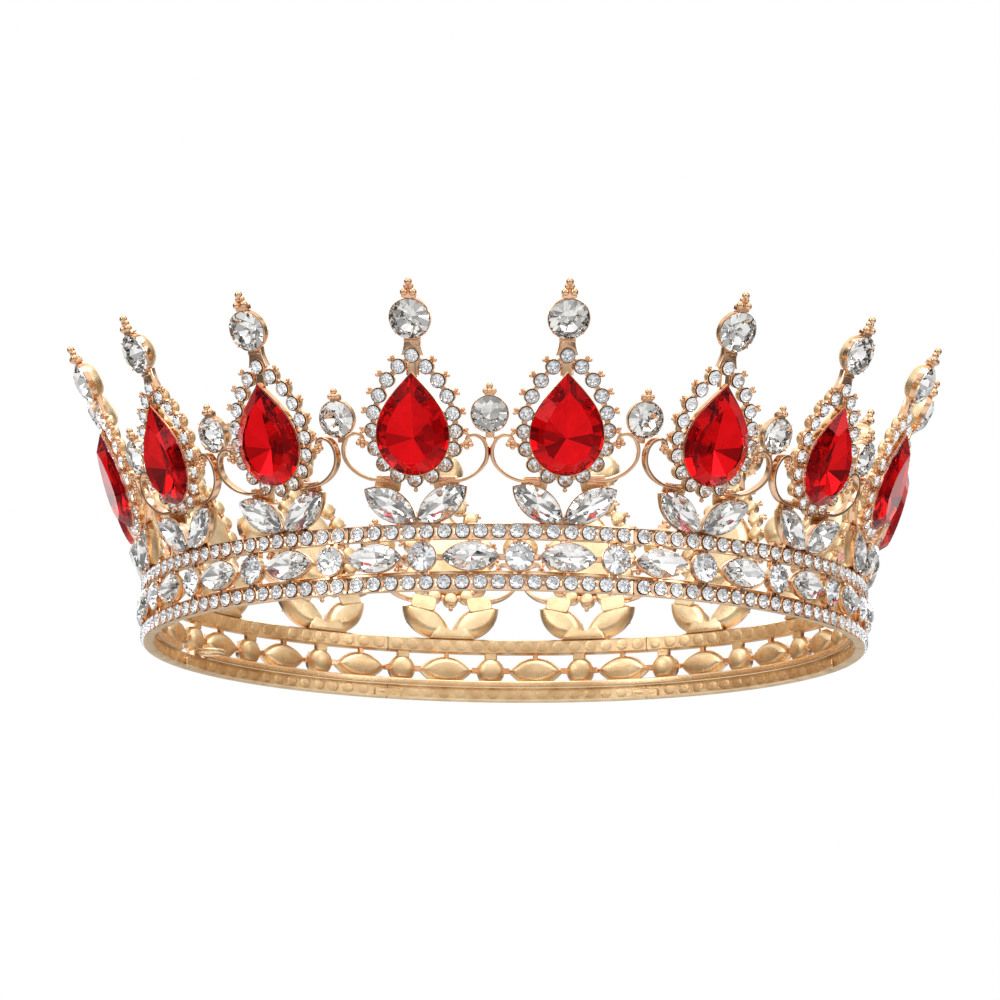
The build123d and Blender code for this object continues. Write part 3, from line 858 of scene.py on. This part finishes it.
def hairpin_eyelet():
    """Round wire loop that lies flat inside the rim."""
    centre = setting(EYELET_ANGLE, WIRE_RADIUS - EYELET_OUTER_RADIUS + 0.4, WIRE_Z).translation
    middle = EYELET_OUTER_RADIUS - EYELET_WIRE_RADIUS
    rings = []
    for angle in np.arange(40) * 2 * math.pi / 40:
        out = np.array((math.cos(angle), math.sin(angle), 0))
        ring = circle(EYELET_WIRE_RADIUS, 0, 12)
        rings.append(out * middle + ring[:, :1] * out + ring[:, 1:2] * np.array((0, 0, 1)))
    rings.append(rings[0])
    loop = skin(rings).moved(Matrix.Translation(centre))
    outermost = setting(EYELET_ANGLE, WIRE_RADIUS - 0.1, WIRE_Z)
    length = (WIRE_RADIUS - 0.1) * math.tan(math.radians(EYELET_ANGLE - WIRE_END)) - 0.04
    tail = rod([(0, 0, 0), (-length / 2, 0, 0), (-length, 0, 0)], 0.42, 12)
    return joined([loop, tail.moved(outermost)])


def solder_lump(width, height, depth, seed):
    """Uneven blob of solder."""
    lump = bead(1.0, count=20)
    for number, point in enumerate(lump.points):
        wobble = noise.noise(Vector(point) * 1.7 + Vector((seed, 0, 0)))
        lump.points[number] = point * (1 + 0.28 * wobble)
    lump.finishes[:] = SATIN
    return lump.moved(Matrix.Diagonal((width / 2, height / 2, depth / 2, 1)))


def seam_plates():
    """Solder plates that bridge the seams inside the lower rail."""
    shells = []
    for number, azimuth in enumerate(segment_azimuths):
        place = setting(azimuth + SEGMENT_ARC / 2, RAIL_INNER - 0.2, LOWER_RAIL_Z - 0.4)
        shells.append(rounded_block(5.2, 1.6, -0.22, 0.2, 0.4, 0.12, SATIN).moved(place))
        shells.append(solder_lump(2.6, 1.3, 0.5, number).moved(shifted(place, 1.2, 0.1, -0.02)))
        shells.append(solder_lump(1.9, 1.0, 0.46, number + 9).moved(shifted(place, -1.5, -0.1, 0.0)))
    return joined(shells)


# ---- materials ----

def new_material(name):
    """Material with its nodes, its links and its Principled shader."""
    material = bpy.data.materials.new(name)
    material.use_nodes = True
    nodes = material.node_tree.nodes
    shader = nodes["Principled BSDF"]
    return material, nodes, material.node_tree.links, shader


def noise_node(nodes, links, scale, detail, stretch=(1, 1, 1)):
    """Noise in the object's own space, in features per metre."""
    coordinates = nodes.new("ShaderNodeTexCoord")
    mapping = nodes.new("ShaderNodeMapping")
    mapping.inputs["Scale"].default_value = stretch
    texture = nodes.new("ShaderNodeTexNoise")
    texture.inputs["Scale"].default_value = scale
    texture.inputs["Detail"].default_value = detail
    links.new(coordinates.outputs["Object"], mapping.inputs["Vector"])
    links.new(mapping.outputs["Vector"], texture.inputs["Vector"])
    return texture.outputs["Fac"]


def ramp(nodes, links, source, stops):
    """Colour ramp: stops are (position, colour)."""
    node = nodes.new("ShaderNodeValToRGB")
    elements = node.color_ramp.elements
    while len(elements) < len(stops):
        elements.new(0.5)
    for element, (position, colour) in zip(elements, stops):
        element.position = position
        element.color = (*colour, 1)
    links.new(source, node.inputs["Fac"])
    return node.outputs["Color"]


def map_range(nodes, links, source, from_low, from_high, to_low, to_high, curve="SMOOTHSTEP"):
    """Value carried from one range to another and held at the ends."""
    node = nodes.new("ShaderNodeMapRange")
    node.interpolation_type = curve
    node.inputs["From Min"].default_value = from_low
    node.inputs["From Max"].default_value = from_high
    node.inputs["To Min"].default_value = to_low
    node.inputs["To Max"].default_value = to_high
    links.new(source, node.inputs["Value"])
    return node.outputs["Result"]


def mix_colours(nodes, links, share, colour, other):
    """Colour mixed towards another one by a share."""
    node = nodes.new("ShaderNodeMix")
    node.data_type = "RGBA"
    links.new(share, node.inputs[0])
    links.new(colour, node.inputs[6])
    node.inputs[7].default_value = (*other, 1)
    return node.outputs[2]


def math_node(nodes, links, operation, *sources):
    """Result of an operation on one or two sockets, held between 0 and 1."""
    node = nodes.new("ShaderNodeMath")
    node.operation = operation
    node.use_clamp = True
    for source, socket in zip(sources, node.inputs):
        links.new(source, socket)
    return node.outputs["Value"]


def mix_shaders(nodes, links, share, shader, other):
    """Shader that gives way to another one by a share."""
    node = nodes.new("ShaderNodeMixShader")
    for source, socket in zip((share, shader, other), node.inputs):
        links.new(source, socket)
    return node.outputs["Shader"]


def metal(name, dark, light, rough_low, rough_high, grain, bump, stretch=(1, 1, 1)):
    """Plated metal: uneven tone, patches of different polish, and a fine cast grain."""
    material, nodes, links, shader = new_material(name)
    shader.inputs["Metallic"].default_value = 1.0
    patches = noise_node(nodes, links, 260, 4.0)
    links.new(ramp(nodes, links, patches, [(0.3, dark), (0.7, light)]), shader.inputs["Base Color"])
    wear = noise_node(nodes, links, 700, 3.0, stretch)
    polish = map_range(nodes, links, wear, 0.3, 0.7, rough_low, rough_high, "LINEAR")
    links.new(polish, shader.inputs["Roughness"])
    relief = nodes.new("ShaderNodeBump")
    relief.inputs["Strength"].default_value = bump
    relief.inputs["Distance"].default_value = 0.00008
    links.new(noise_node(nodes, links, grain, 4.0, stretch), relief.inputs["Height"])
    links.new(relief.outputs["Normal"], shader.inputs["Normal"])
    return material


def glass(name, tint, deep_tint, ior):
    """Crystal: clear glass with a barely uneven tint."""
    material, nodes, links, shader = new_material(name)
    shader.inputs["Transmission Weight"].default_value = 1.0
    shader.inputs["Roughness"].default_value = 0.0
    shader.inputs["IOR"].default_value = ior
    cloud = noise_node(nodes, links, 180, 1.0)
    links.new(ramp(nodes, links, cloud, [(0.35, tint), (0.65, deep_tint)]), shader.inputs["Base Color"])
    return material


def foil(name, bright, dull, roughness):
    """Mirror foil on the back of a crystal, a little uneven in tone."""
    material, nodes, links, shader = new_material(name)
    shader.inputs["Metallic"].default_value = 1.0
    shader.inputs["Roughness"].default_value = roughness
    cloud = noise_node(nodes, links, 420, 2.0)
    links.new(ramp(nodes, links, cloud, [(0.35, dull), (0.65, bright)]), shader.inputs["Base Color"])
    return material


polished_gold = metal("polished_gold", (0.75, 0.445, 0.26), (0.88, 0.585, 0.38), 0.05, 0.13, 2600, 0.12)
satin_gold = metal("satin_gold", (0.7, 0.48, 0.26), (0.95, 0.73, 0.45), 0.24, 0.4, 5200, 0.6)
# painted shade: a near-black gold laid where shade falls, inside cups, collars and the rail channel
painted_shade_gold = metal("painted_shade_gold", (0.1, 0.075, 0.06), (0.17, 0.125, 0.1), 0.3, 0.45, 4200, 0.3)
wire_gold = metal("wire_gold", (0.78, 0.53, 0.3), (0.93, 0.69, 0.44), 0.16, 0.3, 3000, 0.2, (1, 1, 6))
clear_crystal = glass("clear_crystal", (0.995, 0.997, 0.997), (0.975, 0.982, 0.985), 1.56)
silver_foil = foil("silver_foil", (0.93, 0.922, 0.908), (0.86, 0.852, 0.838), 0.02)
chaton_foil = foil("chaton_foil", (0.985, 0.987, 0.99), (0.95, 0.955, 0.965), 0.02)
red_crystal = glass("red_crystal", (0.9, 0.011, 0.018), (0.84, 0.007, 0.012), 1.56)
# reflections on the red crystals are tinted as well, or white ones wash the red out
red_shader = red_crystal.node_tree.nodes["Principled BSDF"]
red_shader.inputs["Specular Tint"].default_value = (1, 0.12, 0.14, 1)
red_foil = foil("red_foil", (0.82, 0.38, 0.38), (0.72, 0.32, 0.32), 0.02)

PLATED = [polished_gold, satin_gold, painted_shade_gold]


# ---- pieces ----

def new_object(name, data):
    """Object that shows some data in the scene."""
    thing = bpy.data.objects.new(name, data)
    bpy.context.scene.collection.objects.link(thing)
    return thing


def make_piece(node, shell, materials, crease=38):
    """Mesh piece in metres that rides on the crown and stands for a CAD node. Edges sharper than
    the crease angle stay sharp, and a crease of 0 leaves every facet flat."""
    name = f"{node}_look"
    mesh = bpy.data.meshes.new(name)
    mesh.vertices.add(len(shell.points))
    mesh.vertices.foreach_set("co", (shell.points * MM).astype(np.float32).ravel())
    mesh.loops.add(len(shell.corners))
    mesh.loops.foreach_set("vertex_index", shell.corners.astype(np.int32))
    mesh.polygons.add(len(shell.sizes))
    starts = np.concatenate([[0], np.cumsum(shell.sizes)[:-1]]).astype(np.int32)
    mesh.polygons.foreach_set("loop_start", starts)
    mesh.polygons.foreach_set("material_index", shell.finishes.astype(np.int32))
    mesh.update(calc_edges=True)
    mesh.validate()
    for material in materials:
        mesh.materials.append(material)
    if crease:
        mesh.shade_smooth()
        mesh.set_sharp_from_angle(angle=math.radians(crease))
    else:
        mesh.shade_flat()
    piece = new_object(name, mesh)
    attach(piece, "root")
    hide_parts(node)


def make_crystals(node, stone, places, back=silver_foil):
    """Mesh piece that holds one group of clear crystals."""
    shells = [stone.moved(place) for place in places]
    make_piece(node, joined(shells), [clear_crystal, back], 0)


band = band_casting()
for number, azimuth in enumerate(segment_azimuths, 1):
    turn = Matrix.Rotation(math.radians(azimuth - FRONT), 4, "Z")
    make_piece(f"band_casting_{number}", band.moved(turn), PLATED)

spire = spire_casting()
red_stone = pear_stone()
for number, azimuth in enumerate(peak_azimuths, 1):
    place = spire_place(azimuth)
    make_piece(f"spire_casting_{number:02d}", spire.moved(place), PLATED)
    stone = red_stone.moved(place)
    make_piece(f"pear_crystal_{number:02d}", stone, [red_crystal, red_foil], 0)

cup = between_setting()
for number in range(SEGMENT_COUNT):
    pair = between_azimuths[2 * number : 2 * number + 2]
    shells = [cup.moved(between_place(azimuth)) for azimuth in pair]
    make_piece(f"between_settings_{number + 1}", joined(shells), PLATED)

make_piece("reinforcing_wire", reinforcing_wire(), [wire_gold])
make_piece("hairpin_eyelet", hairpin_eyelet(), [wire_gold])
make_piece("seam_plates", seam_plates(), PLATED)

chaton = round_stone(CHATON_DIAMETER, 16)
navette = navette_stone()
lower_chatons = []
upper_chatons = []
band_navettes = []
band_rounds = []
for azimuth in segment_azimuths:
    lower_chatons += chaton_places(azimuth, LOWER_RAIL_Z)
    upper_chatons += chaton_places(azimuth, UPPER_RAIL_Z)
    band_navettes += [middle_place(azimuth + angle) for angle in navette_angles]
    band_rounds += [middle_place(azimuth + angle) for angle in round_angles]

leaves = []
halo_chatons = []
top_rounds = []
for azimuth in peak_azimuths:
    leaves += leaf_places(azimuth)
    place = spire_place(azimuth)
    halo_chatons += [shifted(place, x, y, HALO_FRONT) for x, y in halo_points()]
    top_rounds.append(place @ top_place())
between_rounds = [between_place(azimuth) for azimuth in between_azimuths]

make_crystals("lower_rail_chatons", chaton, lower_chatons, chaton_foil)
make_crystals("upper_rail_chatons", chaton, upper_chatons, chaton_foil)
make_crystals("halo_chatons", chaton, halo_chatons, chaton_foil)
make_crystals("band_navettes", navette, band_navettes)
make_crystals("leaf_navettes", navette, leaves)
make_crystals("band_rounds", round_stone(BAND_ROUND_DIAMETER), band_rounds, chaton_foil)
make_crystals("top_rounds", round_stone(TOP_DIAMETER), top_rounds)
make_crystals("between_rounds", round_stone(BETWEEN_DIAMETER), between_rounds)


# ---- floor, light and camera ----

def make_floor():
    """Pale floor just under the rim. Only the eye sees it, and only from above: the camera stands
    lower, and the crown mirrors the bright room below."""
    radius = 4.0
    height = -0.0006
    corners = 64
    mesh = bpy.data.meshes.new("floor")
    mesh.from_pydata(circle(radius, height, corners).tolist(), [], [range(corners)])
    material, nodes, links, shader = new_material("floor_paper")
    shader.inputs["Base Color"].default_value = (0.8, 0.8, 0.8, 1)
    shader.inputs["Roughness"].default_value = 0.8
    eye = nodes.new("ShaderNodeLightPath").outputs["Is Camera Ray"]
    underside = nodes.new("ShaderNodeNewGeometry").outputs["Backfacing"]
    seen = math_node(nodes, links, "SUBTRACT", eye, underside)
    # it fades into the white room further out
    spot = nodes.new("ShaderNodeTexCoord")
    away = nodes.new("ShaderNodeVectorMath")
    away.operation = "LENGTH"
    links.new(spot.outputs["Object"], away.inputs[0])
    near = map_range(nodes, links, away.outputs["Value"], 0.12, 0.5, 1.0, 0.0)
    share = math_node(nodes, links, "MULTIPLY", seen, near)
    clear = nodes.new("ShaderNodeBsdfTransparent")
    surface = mix_shaders(nodes, links, share, clear.outputs["BSDF"], shader.outputs["BSDF"])
    links.new(surface, nodes["Material Output"].inputs["Surface"])
    mesh.materials.append(material)
    new_object("floor", mesh)


def make_world():
    """White to the eye; soft light with darker quarters for the metal and crystals to mirror."""
    world = bpy.data.worlds.new("studio")
    bpy.context.scene.world = world
    world.use_nodes = True
    nodes = world.node_tree.nodes
    links = world.node_tree.links
    coordinates = nodes.new("ShaderNodeTexCoord")
    split = nodes.new("ShaderNodeSeparateXYZ")
    links.new(coordinates.outputs["Generated"], split.inputs["Vector"])
    height = map_range(nodes, links, split.outputs["Z"], -1, 1, 0, 1, "LINEAR")
    tone = ramp(nodes, links, height, [
        (0.0, (1.0, 1.0, 1.0)), (0.2, (0.85, 0.85, 0.85)), (0.34, (0.42, 0.41, 0.4)),
        (0.46, (0.5, 0.49, 0.48)), (0.56, (1.0, 1.0, 1.0)), (1.0, (1.0, 1.0, 1.0)),
    ])
    # dark flags to the left and right, near the level of the crown
    sideways = math_node(nodes, links, "ABSOLUTE", split.outputs["X"])
    flag = map_range(nodes, links, sideways, 0.45, 0.8, 0.0, 1.0)
    upright = math_node(nodes, links, "ABSOLUTE", split.outputs["Z"])
    level = map_range(nodes, links, upright, 0.2, 0.6, 1.0, 0.0)
    flag_share = math_node(nodes, links, "MULTIPLY", flag, level)
    flagged = mix_colours(nodes, links, flag_share, tone, (0.13, 0.13, 0.13))
    # furniture of the room, broad and soft
    clutter = nodes.new("ShaderNodeTexNoise")
    clutter.inputs["Scale"].default_value = 2.3
    clutter.inputs["Detail"].default_value = 1.0
    links.new(coordinates.outputs["Generated"], clutter.inputs["Vector"])
    gloom = map_range(nodes, links, clutter.outputs["Fac"], 0.38, 0.46, 0.7, 0.0)
    room = nodes["Background"]
    links.new(mix_colours(nodes, links, gloom, flagged, (0.22, 0.22, 0.22)), room.inputs["Color"])
    room.inputs["Strength"].default_value = 1.15
    white = nodes.new("ShaderNodeBackground")
    white.inputs["Color"].default_value = (1, 1, 1, 1)
    eye = nodes.new("ShaderNodeLightPath").outputs["Is Camera Ray"]
    surface = mix_shaders(nodes, links, eye, room.outputs["Background"], white.outputs["Background"])
    links.new(surface, nodes["World Output"].inputs["Surface"])


def aim(thing, place, target):
    """Put a light or the camera at a place and turn it to a target."""
    place = Vector(place)
    thing.location = place
    thing.rotation_mode = "QUATERNION"
    thing.rotation_quaternion = (Vector(target) - place).to_track_quat("-Z", "Y")


def make_light(name, place, width, height, power):
    """Soft box aimed at the middle of the crown."""
    data = bpy.data.lights.new(name, "AREA")
    data.shape = "RECTANGLE"
    data.size = width
    data.size_y = height
    data.energy = power
    middle = (0, 0, 0.03)
    aim(new_object(name, data), place, middle)


def make_camera():
    """Camera a little under the rim and almost straight in front."""
    data = bpy.data.cameras.new("camera")
    data.lens = 309.0
    data.sensor_width = 36
    data.clip_start = 0.05
    data.clip_end = 20
    camera = new_object("camera", data)
    aim(camera, (0.0638, -1.5387, -0.2441), (-0.00102, 0, 0.0274))
    camera.rotation_quaternion @= Quaternion((0, 0, 1), math.radians(0.58))
    bpy.context.scene.camera = camera


make_floor()
make_world()
make_light("soft_top", (0.1, -0.35, 1.3), 1.0, 0.8, 7)
make_light("soft_left", (-1.1, -0.9, 0.5), 0.4, 0.9, 4)
make_light("soft_right", (1.2, -0.8, 0.35), 0.3, 0.9, 3)
make_light("soft_back", (0.0, 1.3, 0.7), 1.4, 0.6, 4)
make_camera()

scene = bpy.context.scene
scene.view_settings.view_transform = "Standard"
scene.view_settings.look = "None"
# light is thrown to and fro inside a foiled crystal many times before it comes out
scene.cycles.max_bounces = 20
scene.cycles.glossy_bounces = 14
scene.cycles.transmission_bounces = 14
